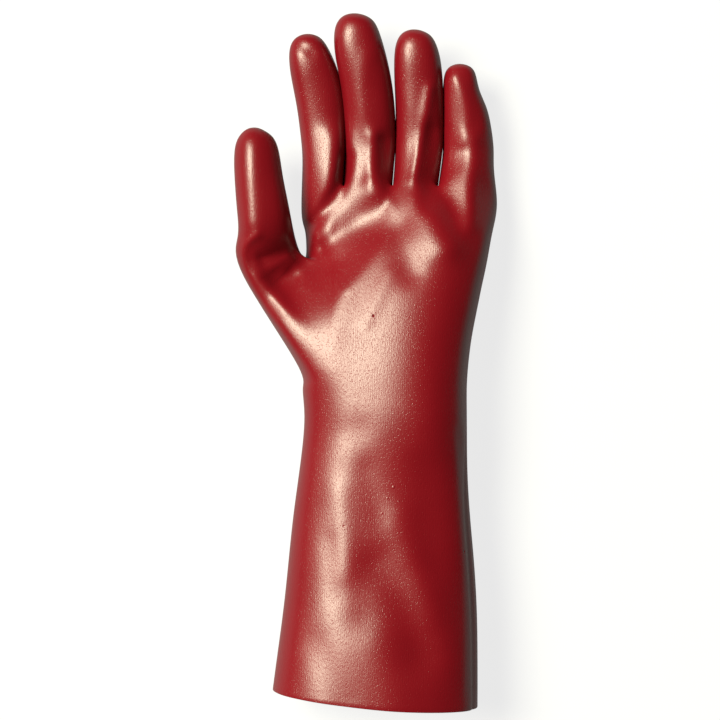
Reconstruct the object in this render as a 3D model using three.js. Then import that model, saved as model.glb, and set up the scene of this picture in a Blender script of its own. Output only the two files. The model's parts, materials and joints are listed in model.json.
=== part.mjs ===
// A long work glove dipped in PVC, for a left hand, lying on its back with the palm up.
// The real glove is one seamless skin, so the model is one hollow solid, open at the cuff.
// X runs across the hand with the thumb at -X, Y runs from the cuff to the fingertips, Z is up.
//
// A coarse cage of quads is laid through the sections in the tables below. Its control points are
// moved until the smooth surface passes through every section, and the surface is then divided
// once, creased by the folds, laid on the table and given its wall on the inside.
import * as THREE from 'three';

// Driving dimensions, in millimetres
const wall = 1.5;             // coat and knitted backing together
const cuffLength = 146;       // rim to the narrowest place at the wrist
const cuffBreadth = 103.5;    // at the rim
const cuffDepth = 64;
const rimSkew = 8.6;          // how much further the little side of the rim reaches
const wristBreadth = 82;
const wristDepth = 50;
const wristLift = 2.5;        // the hollow under the wrist when the glove lies on its back
const palmLength = 116;       // wrist to the webs between the fingers
const palmDepth = 43;         // at the finger roots
const webSlope = 8;           // how much further down a web reaches on the back of the hand
const fingerBed = 2;          // height of the knuckles' underside before the glove is laid down
const foldStart = 8;          // below this height nothing is folded
const foldFull = 24;          // above this one the folds have their whole height
const settle = 1.2;           // how far the underside is pressed flat by its own weight

// The four fingers from the thumb side. Length is from the web to the tip, root is the spacing of
// the webs, lift is the rise of the finger's underside above the bed.
const fingers = [
  { name: 'index', length: 78, root: 19.7, breadth: 24.4, depth: 23.5, lift: 1.0 },
  { name: 'middle', length: 88, root: 24.7, breadth: 25.2, depth: 25.5, lift: 3.0 },
  { name: 'ring', length: 80, root: 23.3, breadth: 24.0, depth: 24.5, lift: 3.5 },
  { name: 'little', length: 63, root: 28.5, breadth: 25.2, depth: 22.5, lift: 3.0 },
];
const thumb = { name: 'thumb', length: 95.5, breadth: 27, depth: 26, reach: 47, height: 31 };

// Sections of the forearm. along is a share of cuffLength from the rim, flare and deepen are the
// shares of the growth from the wrist's size to the rim's, sway is the middle's shift to the
// little side as a share of wristBreadth, and lift is a share of wristLift.
const forearmSections = [
  { along: 0.00, flare: 1.00, deepen: 1.00, sway: 0.067, lift: 0.0, squareness: 2.2 },
  { along: 0.17, flare: 0.90, deepen: 0.92, sway: 0.080, lift: 0.0, squareness: 2.2 },
  { along: 0.34, flare: 0.73, deepen: 0.75, sway: 0.098, lift: 0.1, squareness: 2.2 },
  { along: 0.51, flare: 0.54, deepen: 0.55, sway: 0.105, lift: 0.3, squareness: 2.25 },
  { along: 0.67, flare: 0.33, deepen: 0.33, sway: 0.108, lift: 0.6, squareness: 2.35 },
  { along: 0.84, flare: 0.11, deepen: 0.12, sway: 0.120, lift: 0.9, squareness: 2.45 },
  { along: 1.00, flare: 0.00, deepen: 0.00, sway: 0.132, lift: 1.0, squareness: 2.5 },
];

// Sections of the palm. along is a share of palmLength from the wrist, spread and thin are the
// shares of the change from the wrist's breadth and depth to those at the finger roots. mount is
// how far the thumb side of the palm is filled out, a share of palmDepth.
const palmSections = [
  { along: 0.13, spread: 0.11, thin: 0.06, sway: 0.122, lift: 0.9, squareness: 2.5, mount: 0.02 },
  { along: 0.24, spread: 0.36, thin: 0.17, sway: 0.112, lift: 0.8, squareness: 2.5, mount: 0.05 },
  { along: 0.35, spread: 0.45, thin: 0.36, sway: 0.125, lift: 0.6, squareness: 2.5, mount: 0.08 },
  { along: 0.46, spread: 0.52, thin: 0.57, sway: 0.150, lift: 0.4, squareness: 2.5, mount: 0.08 },
  { along: 0.57, spread: 0.64, thin: 0.86, sway: 0.172, lift: 0.2, squareness: 2.5, mount: 0.05 },
  { along: 0.68, spread: 0.78, thin: 1.25, sway: 0.195, lift: 0.1, squareness: 2.6, mount: 0.02 },
  { along: 0.81, spread: 0.94, thin: 1.70, sway: 0.215, lift: 0.0, squareness: 2.7, mount: 0.00 },
];
const thumbRows = [8, 12];    // the first and last of the body's rings that the thumb grows from
const rimSway = forearmSections[0].sway;
const rootSway = 0.217;       // the finger roots' middle, a share of wristBreadth
const rootSag = { index: 12, little: 6 }; // how far the outer corners lie below the webs

// Sections of the digits, from root to tip. along is a share of the length, sway and wide are
// shares of the breadth, thick and rise are shares of the depth.
const digitSections = {
  index: [
    { along: 0.15, sway: 0.00, wide: 0.90, thick: 1.15, rise: 0.04 },
    { along: 0.33, sway: -0.01, wide: 0.95, thick: 1.03, rise: 0.03 },
    { along: 0.51, sway: -0.05, wide: 1.00, thick: 0.95, rise: 0.14 },
    { along: 0.67, sway: -0.14, wide: 1.00, thick: 0.92, rise: 0.24 },
    { along: 0.81, sway: -0.26, wide: 0.92, thick: 0.88, rise: 0.34 },
    { along: 0.92, sway: -0.35, wide: 0.74, thick: 0.72, rise: 0.41 },
    { along: 0.975, sway: -0.38, wide: 0.46, thick: 0.44, rise: 0.43 },
    { along: 1.00, sway: -0.39, wide: 0, thick: 0, rise: 0.43 },
  ],
  middle: [
    { along: 0.13, sway: 0.04, wide: 0.99, thick: 1.00, rise: 0.00 },
    { along: 0.29, sway: 0.06, wide: 1.02, thick: 0.98, rise: 0.00 },
    { along: 0.46, sway: 0.03, wide: 1.03, thick: 0.95, rise: 0.14 },
    { along: 0.62, sway: -0.04, wide: 1.02, thick: 0.93, rise: 0.25 },
    { along: 0.78, sway: -0.16, wide: 0.99, thick: 0.90, rise: 0.36 },
    { along: 0.905, sway: -0.24, wide: 0.86, thick: 0.80, rise: 0.42 },
    { along: 0.97, sway: -0.25, wide: 0.58, thick: 0.54, rise: 0.44 },
    { along: 1.00, sway: -0.24, wide: 0, thick: 0, rise: 0.44 },
  ],
  ring: [
    { along: 0.14, sway: 0.06, wide: 0.98, thick: 1.00, rise: 0.00 },
    { along: 0.31, sway: 0.10, wide: 1.02, thick: 0.98, rise: 0.00 },
    { along: 0.49, sway: 0.105, wide: 1.02, thick: 0.95, rise: 0.12 },
    { along: 0.66, sway: 0.08, wide: 1.02, thick: 0.92, rise: 0.22 },
    { along: 0.81, sway: 0.045, wide: 0.97, thick: 0.88, rise: 0.32 },
    { along: 0.92, sway: 0.00, wide: 0.80, thick: 0.74, rise: 0.38 },
    { along: 0.975, sway: -0.01, wide: 0.50, thick: 0.46, rise: 0.40 },
    { along: 1.00, sway: 0.00, wide: 0, thick: 0, rise: 0.40 },
  ],
  little: [
    { along: 0.15, sway: 0.04, wide: 1.08, thick: 1.08, rise: 0.02 },
    { along: 0.31, sway: 0.06, wide: 1.03, thick: 1.03, rise: 0.00 },
    { along: 0.47, sway: 0.03, wide: 0.98, thick: 0.97, rise: 0.09 },
    { along: 0.62, sway: -0.02, wide: 0.90, thick: 0.92, rise: 0.18 },
    { along: 0.76, sway: -0.09, wide: 0.74, thick: 0.84, rise: 0.27 },
    { along: 0.89, sway: -0.12, wide: 0.65, thick: 0.72, rise: 0.33 },
    { along: 0.965, sway: -0.12, wide: 0.46, thick: 0.48, rise: 0.35 },
    { along: 1.00, sway: -0.12, wide: 0, thick: 0, rise: 0.35 },
  ],
  thumb: [
    { along: 0.30, sway: -0.68, wide: 1.185, thick: 1.00, rise: -0.10 },
    { along: 0.44, sway: -0.75, wide: 1.03, thick: 1.03, rise: 0.05 },
    { along: 0.58, sway: -0.81, wide: 0.97, thick: 0.97, rise: 0.10 },
    { along: 0.73, sway: -0.88, wide: 0.90, thick: 0.92, rise: 0.13 },
    { along: 0.86, sway: -0.92, wide: 0.84, thick: 0.84, rise: 0.14 },
    { along: 0.94, sway: -0.94, wide: 0.68, thick: 0.66, rise: 0.15 },
    { along: 0.98, sway: -0.94, wide: 0.40, thick: 0.40, rise: 0.15 },
    { along: 1.00, sway: -0.93, wide: 0, thick: 0, rise: 0.15 },
  ],
};

const digitSquareness = 2.35;

// Folds, ridges and dents of the palm side, each along a line. Places are shares of palmBreadth
// from the middle of the finger roots and of palmLength from the wrist. bend is the line's bow to
// its left, a share of its length. Width is a share of palmBreadth and height, which is below 0
// for a dent, is a share of palmDepth.
const palmFolds = [
  // the hollow towards the thumb web
  { fromX: -0.57, fromY: 0.60, toX: -0.25, toY: 0.86, bend: 0.02, width: 0.17, height: -0.26 },
  { fromX: -0.67, fromY: 0.60, toX: -0.50, toY: 0.67, bend: 0, width: 0.06, height: -0.05 },
  { fromX: -0.40, fromY: 0.74, toX: -0.10, toY: 0.92, bend: 0, width: 0.035, height: -0.045 },
  { fromX: -0.32, fromY: 0.52, toX: -0.03, toY: 0.88, bend: -0.08, width: 0.04, height: 0.012 },
  // the heel of the hand and its little side
  { fromX: 0.13, fromY: 0.05, toX: 0.20, toY: 0.62, bend: 0, width: 0.36, height: 0.17 },
  { fromX: 0.11, fromY: 0.93, toX: 0.24, toY: 0.74, bend: 0, width: 0.09, height: 0.07 },
  { fromX: -0.02, fromY: 0.80, toX: 0.06, toY: 0.62, bend: 0, width: 0.07, height: -0.028 },
  { fromX: -0.18, fromY: 0.40, toX: -0.05, toY: 0.62, bend: 0, width: 0.035, height: 0.009 },
  // mounts and creases under the fingers
  { fromX: -0.365, fromY: 0.79, toX: -0.10, toY: 0.975, bend: 0.06, width: 0.10, height: 0.13 },
  { fromX: -0.47, fromY: 0.84, toX: -0.277, toY: 1.13, bend: -0.10, width: 0.035, height: -0.06 },
  { fromX: -0.31, fromY: 1.00, toX: -0.32, toY: 1.20, bend: 0, width: 0.085, height: 0.085 },
  { fromX: -0.135, fromY: 1.22, toX: -0.15, toY: 1.03, bend: 0, width: 0.04, height: 0.035 },
  { fromX: -0.07, fromY: 1.20, toX: -0.06, toY: 0.97, bend: 0, width: 0.045, height: -0.05 },
  { fromX: 0.18, fromY: 1.24, toX: 0.14, toY: 0.94, bend: 0.05, width: 0.055, height: -0.06 },
  { fromX: 0.385, fromY: 1.20, toX: 0.36, toY: 0.84, bend: 0, width: 0.055, height: 0.05 },
  // the fingers
  { fromX: 0.075, fromY: 1.03, toX: 0.16, toY: 1.42, bend: 0, width: 0.03, height: 0.032 },
  { fromX: -0.17, fromY: 1.55, toX: -0.15, toY: 1.22, bend: -0.10, width: 0.05, height: 0.015 },
  { fromX: 0.33, fromY: 1.20, toX: 0.29, toY: 1.47, bend: -0.12, width: 0.04, height: 0.02 },
  { fromX: -0.53, fromY: 1.62, toX: -0.46, toY: 1.58, bend: 0, width: 0.03, height: -0.015 },
  // the thumb and its root
  { fromX: -0.77, fromY: 1.24, toX: -0.76, toY: 0.84, bend: 0, width: 0.075, height: 0.045 },
  { fromX: -0.77, fromY: 0.59, toX: -0.58, toY: 0.69, bend: 0, width: 0.035, height: 0.065 },
  { fromX: -0.71, fromY: 0.68, toX: -0.56, toY: 0.71, bend: 0, width: 0.035, height: -0.05 },
  { fromX: -0.74, fromY: 0.78, toX: -0.80, toY: 0.65, bend: -0.25, width: 0.025, height: 0.025 },
  { fromX: -0.74, fromY: 0.57, toX: -0.56, toY: 0.62, bend: 0, width: 0.03, height: -0.035 },
  { fromX: -0.73, fromY: 0.575, toX: -0.60, toY: 0.46, bend: 0.12, width: 0.04, height: 0.05 },
];

// The same for the cuff, in shares of cuffBreadth from the middle of the rim, of cuffLength from
// the rim and of cuffDepth.
const cuffFolds = [
  // the crease along the little side
  { fromX: 0.405, fromY: 0.95, toX: 0.46, toY: 0.06, bend: 0.02, width: 0.022, height: -0.012 },
  { fromX: 0.44, fromY: 0.95, toX: 0.49, toY: 0.06, bend: 0.02, width: 0.035, height: 0.014 },
  // dents and swells
  { fromX: -0.06, fromY: 0.42, toX: -0.05, toY: 0.34, bend: 0, width: 0.09, height: -0.012 },
  { fromX: 0.02, fromY: 0.50, toX: 0.22, toY: 0.20, bend: 0.08, width: 0.10, height: -0.03 },
  { fromX: 0.12, fromY: 0.66, toX: 0.26, toY: 0.34, bend: 0, width: 0.08, height: 0.015 },
  { fromX: -0.18, fromY: 0.74, toX: -0.15, toY: 0.48, bend: 0.05, width: 0.07, height: 0.01 },
  { fromX: -0.22, fromY: 0.58, toX: -0.18, toY: 0.40, bend: 0, width: 0.05, height: -0.006 },
  { fromX: -0.28, fromY: 0.23, toX: -0.16, toY: 0.05, bend: 0, width: 0.08, height: -0.01 },
  { fromX: 0.02, fromY: 0.22, toX: 0.08, toY: 0.02, bend: 0, width: 0.12, height: 0.018 },
  { fromX: -0.28, fromY: 0.93, toX: -0.08, toY: 0.96, bend: 0, width: 0.07, height: -0.007 },
  { fromX: 0.24, fromY: 0.82, toX: 0.28, toY: 0.52, bend: 0, width: 0.10, height: -0.018 },
  { fromX: -0.04, fromY: 0.82, toX: 0.02, toY: 0.66, bend: 0, width: 0.06, height: -0.008 },
];
const columns = 9;            // lengthwise lines across the palm, two spans to each finger
const sideAngle = 24;         // degrees that the outer columns stand above the side line

const mix = (a, b, share) => a + (b - a) * share;

// A point of a rounded oblong, with the corners filled out as squareness grows over 2.
function oblong(degrees, halfBreadth, halfDepth, squareness) {
  const angle = THREE.MathUtils.degToRad(degrees);
  const bend = (value) => Math.sign(value) * Math.abs(value) ** (2 / squareness);
  return [halfBreadth * bend(Math.cos(angle)), halfDepth * bend(Math.sin(angle))];
}

// The angles of a body ring: palm side from thumb to little finger, then the back.
function bodyAngles() {
  const palmSide = [];
  for (let i = 0; i < columns; i += 1) {
    palmSide.push(mix(180 - sideAngle, sideAngle, i / (columns - 1)));
  }
  return [...palmSide, 0, ...palmSide.map((angle) => -angle).reverse(), 180];
}

function bodyRing(section) {
  return bodyAngles().map((degrees) => {
    const [x, z] = oblong(degrees, section.breadth / 2, section.depth / 2, section.squareness);
    return new THREE.Vector3(section.x + x, section.y, section.z + section.depth / 2 + z);
  });
}

// The rim is cut a little askew: its thumb side ends short of its little side.
function skewRim(ring) {
  for (const point of ring) {
    const share = THREE.MathUtils.clamp(0.5 - (point.x - wristBreadth * rimSway) / cuffBreadth, 0, 1);
    point.y += rimSkew * share ** 1.6;
  }
}

// The ball of the thumb fills out the thumb side of the palm.
function fillMount(ring, height) {
  [1, 1.08, 0.5].forEach((share, i) => { ring[i].z += share * height; });
}

const palmBreadth = fingers.reduce((sum, finger) => sum + finger.root, 0);

function bodyRings() {
  const rings = forearmSections.map((row) => bodyRing({
    x: row.sway * wristBreadth,
    y: row.along * cuffLength,
    z: row.lift * wristLift,
    breadth: mix(wristBreadth, cuffBreadth, row.flare),
    depth: mix(wristDepth, cuffDepth, row.deepen),
    squareness: row.squareness,
  }));
  skewRim(rings[0]);
  for (const row of palmSections) {
    rings.push(bodyRing({
      x: row.sway * wristBreadth,
      y: cuffLength + row.along * palmLength,
      z: row.lift * wristLift,
      breadth: mix(wristBreadth, palmBreadth, row.spread),
      depth: mix(wristDepth, palmDepth, row.thin),
      squareness: row.squareness,
    }));
    fillMount(rings[rings.length - 1], row.mount * palmDepth);
  }
  rings.push(rootRing());
  return rings;
}

// The lines between and along the middle of the fingers, across the roots.
function rootColumns() {
  const lines = [];
  let x = rootSway * wristBreadth - palmBreadth / 2;
  for (const finger of fingers) {
    lines.push(x, x + finger.root / 2);
    x += finger.root;
  }
  return [...lines, x];
}

const rootY = cuffLength + palmLength;

// The last ring of the body runs along the webs. Its outer corners lie further down.
function rootRing() {
  const lines = rootColumns();
  const last = columns - 1;
  const sag = lines.map((_, i) => {
    if (i === 0) return rootSag.index;
    if (i === 1) return rootSag.index * 0.35;
    if (i === last) return rootSag.little;
    return 0;
  });
  const dip = lines.map((_, i) => (i % 2 === 0 && i > 0 && i < last ? 0.10 : 0));
  const edge = lines.map((_, i) => (i === 0 || i === last ? 0.2 : 0));
  const palmSide = lines.map((x, i) => new THREE.Vector3(
    x, rootY - sag[i], fingerBed + palmDepth * (0.69 - edge[i] - dip[i])));
  const back = lines.map((x, i) => new THREE.Vector3(
    x, rootY - sag[i] * 0.5 - webSlope, fingerBed + palmDepth * (edge[i] * 0.6 + dip[i] * 0.5)));
  const side = (i) => new THREE.Vector3().lerpVectors(palmSide[i], back[i], 0.5)
    .setX(lines[i] + (i === 0 ? -1.5 : 1.5));
  return [...palmSide, side(last), ...back.reverse(), side(0)];
}

// The cage: points where the smooth surface must pass, and quads of their numbers.
const points = [];
const quads = [];

const addRing = (ring) => ring.map((point) => points.push(point) - 1);

function bridge(from, to, skip = () => false) {
  from.forEach((_, i) => {
    const next = (i + 1) % from.length;
    if (!skip(i)) quads.push([from[i], from[next], to[next], to[i]]);
  });
}

// A digit grows from a ring of points of the body, through its sections, to its tip. crown is
// the place in the ring that lies in the middle of the palm side.
function growDigit(digit, base, root, crown) {
  const rows = digitSections[digit.name];
  const centres = rows.map((row) => new THREE.Vector3(
    root.x + row.sway * digit.breadth,
    root.y + row.along * digit.length,
    root.z + row.rise * digit.depth));
  const up = new THREE.Vector3(0, 0, 1);
  let ring = base;
  rows.slice(0, -1).forEach((row, i) => {
    const before = i === 0 ? root : centres[i - 1];
    const along = new THREE.Vector3().subVectors(centres[i + 1], before).normalize();
    const side = new THREE.Vector3().crossVectors(along, up).normalize();
    const top = new THREE.Vector3().crossVectors(side, along);
    const next = addRing(base.map((_, j) => {
      const degrees = 90 + (crown - j) * (360 / base.length);
      const [a, b] = oblong(
        degrees, row.wide * digit.breadth / 2, row.thick * digit.depth / 2, digitSquareness);
      return centres[i].clone().addScaledVector(side, a).addScaledVector(top, b);
    }));
    bridge(ring, next);
    ring = next;
  });
  const tip = points.push(centres[rows.length - 1]) - 1;
  for (let i = 1; i < ring.length; i += 2) {
    quads.push([ring[i], ring[(i + 1) % ring.length], ring[(i + 2) % ring.length], tip]);
  }
}

function buildCage() {
  const rings = bodyRings().map(addRing);
  const [low, high] = thumbRows;
  const thumbSide = columns * 2 + 1;
  for (let j = 0; j + 1 < rings.length; j += 1) {
    const inPatch = (i) => j >= low && j < high && (i >= thumbSide - 1 || i === 0);
    bridge(rings[j], rings[j + 1], inPatch);
  }
  const roots = rings[rings.length - 1];
  const palmSide = roots.slice(0, columns);
  const back = roots.slice(columns + 1, columns * 2 + 1).reverse();
  const middle = palmSide.map((number, i) => {
    if (i === 0) return roots[thumbSide];
    if (i === columns - 1) return roots[columns];
    if (i % 2 === 1) return -1;
    const web = new THREE.Vector3().lerpVectors(points[number], points[back[i]], 0.5);
    return points.push(web) - 1;
  });
  const lines = rootColumns();
  fingers.forEach((finger, f) => {
    const [a, b, c] = [2 * f, 2 * f + 1, 2 * f + 2];
    const base = [palmSide[a], palmSide[b], palmSide[c], middle[c],
      back[c], back[b], back[a], middle[a]];
    const root = new THREE.Vector3(lines[b], rootY, fingerBed + finger.lift + finger.depth / 2);
    growDigit(finger, base, root, 1);
  });
  const dorsal = thumbSide - 1;
  const patch = rings.slice(low, high + 1);
  const last = patch[patch.length - 1];
  const base = [...patch.map((ring) => ring[1]), last[0], last[thumbSide],
    ...patch.map((ring) => ring[dorsal]).reverse(), patch[0][thumbSide], patch[0][0]];
  const root = new THREE.Vector3(
    rootSway * wristBreadth - thumb.reach, cuffLength + palmLength * 0.43, thumb.height);
  growDigit(thumb, base, root, (high - low) / 2);
}

// Who lies next to each point: its edge neighbours, the points across its faces, and whether it
// is on the open rim.
function neighbourhoods(count, faces) {
  const near = Array.from({ length: count }, () => ({ edges: new Map(), across: [] }));
  for (const face of faces) {
    face.forEach((a, i) => {
      const after = face[(i + 1) % 4];
      const before = face[(i + 3) % 4];
      near[a].across.push(face[(i + 2) % 4]);
      for (const other of [after, before]) {
        near[a].edges.set(other, (near[a].edges.get(other) ?? 0) + 1);
      }
    });
  }
  return near;
}

// Where the smooth surface lies for each point of the cage.
function limitPoints(cage, near) {
  return cage.map((point, i) => {
    const { edges, across } = near[i];
    const open = [...edges].filter(([, uses]) => uses === 1).map(([other]) => other);
    const sum = new THREE.Vector3();
    if (edges.size === 0) return point.clone();
    if (open.length === 2) {
      return sum.copy(point).multiplyScalar(4)
        .add(cage[open[0]]).add(cage[open[1]]).divideScalar(6);
    }
    const n = edges.size;
    sum.copy(point).multiplyScalar(n * n);
    for (const other of edges.keys()) sum.addScaledVector(cage[other], 4);
    for (const other of across) sum.add(cage[other]);
    return sum.divideScalar(n * (n + 5));
  });
}

// Moves the control points until the smooth surface passes through the wanted points.
function fitCage(wanted, near, rounds = 2) {
  let cage = wanted.map((point) => point.clone());
  for (let round = 0; round < rounds; round += 1) {
    const reached = limitPoints(cage, near);
    cage = cage.map((point, i) => point.clone().add(wanted[i]).sub(reached[i]));
  }
  return cage;
}

// One step of Catmull-Clark subdivision.
function divide(cage, faces) {
  const faceStart = cage.length;
  const made = cage.map((point) => point.clone());
  for (const face of faces) {
    const middle = new THREE.Vector3();
    for (const number of face) middle.addScaledVector(cage[number], 1 / 4);
    made.push(middle);
  }
  const edges = new Map();
  const key = (a, b) => `${Math.min(a, b)}_${Math.max(a, b)}`;
  faces.forEach((face, f) => face.forEach((a, i) => {
    const b = face[(i + 1) % 4];
    const edge = edges.get(key(a, b)) ?? { ends: [a, b], faces: [] };
    edge.faces.push(faceStart + f);
    edges.set(key(a, b), edge);
  }));
  for (const edge of edges.values()) {
    const [a, b] = edge.ends.map((number) => cage[number]);
    const middle = new THREE.Vector3().addVectors(a, b);
    if (edge.faces.length === 1) {
      middle.multiplyScalar(0.5);
    } else {
      for (const number of edge.faces) middle.add(made[number]);
      middle.multiplyScalar(0.25);
    }
    edge.number = made.push(middle) - 1;
  }
  const around = cage.map(() => ({ faces: [], edges: [], rim: [] }));
  faces.forEach((face, f) => face.forEach((a) => around[a].faces.push(faceStart + f)));
  for (const edge of edges.values()) {
    for (const end of edge.ends) {
      const other = edge.ends[0] === end ? edge.ends[1] : edge.ends[0];
      around[end].edges.push(other);
      if (edge.faces.length === 1) around[end].rim.push(other);
    }
  }
  cage.forEach((point, i) => {
    const { faces: close, edges: ends, rim } = around[i];
    const n = ends.length;
    if (n === 0) return;
    const moved = new THREE.Vector3();
    if (rim.length === 2) {
      moved.copy(point).multiplyScalar(6).add(cage[rim[0]]).add(cage[rim[1]]).divideScalar(8);
    } else {
      moved.copy(point).multiplyScalar((n - 2) / n);
      for (const number of close) moved.addScaledVector(made[number], 1 / (n * n));
      for (const other of ends) moved.addScaledVector(cage[other], 1 / (n * n));
    }
    made[i] = moved;
  });
  const quarters = [];
  faces.forEach((face, f) => face.forEach((a, i) => {
    const after = edges.get(key(a, face[(i + 1) % 4])).number;
    const before = edges.get(key(face[(i + 3) % 4], a)).number;
    quarters.push([a, after, faceStart + f, before]);
  }));
  return [made, quarters];
}

// How far the folds raise a place on the palm side, and how far down a dent presses it.
function foldHeight(x, y, folds, middle, start, breadth, length, depth) {
  return folds.reduce((sum, fold) => {
    const from = new THREE.Vector2(middle + fold.fromX * breadth, start + fold.fromY * length);
    const to = new THREE.Vector2(middle + fold.toX * breadth, start + fold.toY * length);
    const line = to.sub(from);
    const place = new THREE.Vector2(x, y).sub(from);
    const share = THREE.MathUtils.clamp(place.dot(line) / line.lengthSq(), 0, 1);
    const bow = new THREE.Vector2(-line.y, line.x).multiplyScalar(4 * share * (1 - share) * fold.bend);
    const away = place.addScaledVector(line, -share).sub(bow).length() / (fold.width * breadth);
    return sum + fold.height * depth * Math.exp(-away * away);
  }, 0);
}

// The folds act on the upper side and fade out towards the table.
function addFolds(surface) {
  for (const point of surface) {
    const height = foldHeight(point.x, point.y, palmFolds,
      rootSway * wristBreadth, cuffLength, palmBreadth, palmLength, palmDepth)
      + foldHeight(point.x, point.y, cuffFolds,
        rimSway * wristBreadth, 0, cuffBreadth, cuffLength, cuffDepth);
    point.z += THREE.MathUtils.smoothstep(point.z, foldStart, foldFull) * height;
  }
}

// The outward direction at each point.
function normals(surface, faces) {
  const sums = surface.map(() => new THREE.Vector3());
  for (const [a, b, c, d] of faces) {
    const across = new THREE.Vector3().subVectors(surface[c], surface[a]);
    const other = new THREE.Vector3().subVectors(surface[d], surface[b]);
    const normal = across.cross(other);
    for (const number of [a, b, c, d]) sums[number].add(normal);
  }
  return sums.map((sum) => sum.normalize());
}

// The skin as one closed geometry: outside, inside and the cut edge of the rim.
function skinGeometry(outside, faces, thickness) {
  const directions = normals(outside, faces);
  const inside = outside.map((point, i) => point.clone().addScaledVector(directions[i], -thickness));
  const count = outside.length;
  const position = [...outside, ...inside].flatMap((point) => [point.x, point.y, point.z]);
  const index = [];
  const addQuad = (a, b, c, d) => index.push(a, b, c, a, c, d);
  const uses = new Map();
  for (const face of faces) {
    const [a, b, c, d] = face;
    addQuad(a, b, c, d);
    addQuad(a + count, d + count, c + count, b + count);
    face.forEach((from, i) => uses.set(`${from}_${face[(i + 1) % 4]}`, [from, face[(i + 1) % 4]]));
  }
  for (const [from, to] of uses.values()) {
    if (!uses.has(`${to}_${from}`)) addQuad(to, from, from + count, to + count);
  }
  const geometry = new THREE.BufferGeometry();
  geometry.setAttribute('position', new THREE.Float32BufferAttribute(position, 3));
  geometry.setIndex(index);
  geometry.computeVertexNormals();
  return geometry;
}

function gloveMesh() {
  buildCage();
  const cage = fitCage(points, neighbourhoods(points.length, quads));
  const [divided, faces] = divide(cage, quads);
  const smooth = limitPoints(divided, neighbourhoods(divided.length, faces));
  const used = [...new Set(faces.flat())];
  const number = new Map(used.map((old, i) => [old, i]));
  const outside = used.map((old) => smooth[old]);
  const renumbered = faces.map((face) => face.map((old) => number.get(old)));
  addFolds(outside);
  for (const point of outside) point.z = Math.max(point.z, settle);
  const material = new THREE.MeshStandardMaterial({ color: 0xa01822, roughness: 0.32, metalness: 0 });
  const mesh = new THREE.Mesh(skinGeometry(outside, renumbered, wall), material);
  mesh.name = 'glove_skin';
  return mesh;
}

// The origin is the middle of the glove's footprint, on the surface that it lies on.
const glove = new THREE.Group();
const skin = gloveMesh();
skin.geometry.computeBoundingBox();
const { min, max } = skin.geometry.boundingBox;
skin.position.set(-(min.x + max.x) / 2, -(min.y + max.y) / 2, -min.z);
glove.add(skin);

export default glove;
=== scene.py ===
# %% [markdown]
# A long PVC work glove
#
# The real glove starts as a knitted liner pulled over a hand-shaped former. Former and liner are
# dipped in liquid PVC and baked, so the finished glove is one seamless glossy skin with no seams,
# hems or straps. This notebook builds that skin as one mesh: a coarse cage of quads, smoothed, then
# creased like a glove that has been packed and worn, then given its wall.

# %% Load the fixed frame
import json
import math
from collections import namedtuple

import bmesh
import bpy
import numpy as np
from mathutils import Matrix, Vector

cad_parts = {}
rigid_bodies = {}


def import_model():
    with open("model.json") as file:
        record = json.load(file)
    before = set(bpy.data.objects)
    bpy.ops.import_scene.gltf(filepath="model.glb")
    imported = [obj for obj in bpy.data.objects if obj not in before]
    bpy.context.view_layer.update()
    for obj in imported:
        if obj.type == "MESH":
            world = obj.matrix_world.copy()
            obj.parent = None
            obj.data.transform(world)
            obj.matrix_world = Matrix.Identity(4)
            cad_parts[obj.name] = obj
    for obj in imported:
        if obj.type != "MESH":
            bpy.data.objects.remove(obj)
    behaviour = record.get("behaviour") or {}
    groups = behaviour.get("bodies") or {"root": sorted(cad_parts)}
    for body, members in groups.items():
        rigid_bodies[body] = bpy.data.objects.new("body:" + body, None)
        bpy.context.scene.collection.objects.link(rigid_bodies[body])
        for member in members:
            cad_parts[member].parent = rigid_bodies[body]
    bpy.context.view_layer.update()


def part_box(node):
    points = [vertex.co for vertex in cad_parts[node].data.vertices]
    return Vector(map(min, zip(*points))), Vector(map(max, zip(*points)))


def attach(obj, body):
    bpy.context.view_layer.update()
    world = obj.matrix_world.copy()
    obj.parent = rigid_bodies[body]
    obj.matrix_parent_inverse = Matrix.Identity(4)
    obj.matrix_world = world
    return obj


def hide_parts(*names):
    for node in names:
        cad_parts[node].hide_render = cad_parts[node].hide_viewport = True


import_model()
skin_low, skin_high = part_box("glove_skin")
MM = 0.001
print("glove in the frame, mm:", [round(side / MM, 1) for side in skin_high - skin_low])

# %% [markdown]
# Sizes
#
# A handful of driving sizes fix the glove, all in metres. Everything else is a share of them, kept in
# tables with one row for each section. A section table is the quickest way to describe a lofted,
# hand-like form: change one row and the surface follows smoothly.

# %% Driving sizes
WALL = 1.5 * MM
CUFF_LENGTH = 146 * MM
CUFF_BREADTH = 103.5 * MM
CUFF_DEPTH = 64 * MM
RIM_SKEW = 8.6 * MM
WRIST_BREADTH = 82 * MM
WRIST_DEPTH = 50 * MM
WRIST_LIFT = 2.5 * MM
PALM_LENGTH = 116 * MM
PALM_DEPTH = 43 * MM
FINGER_BED = 2 * MM

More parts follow.
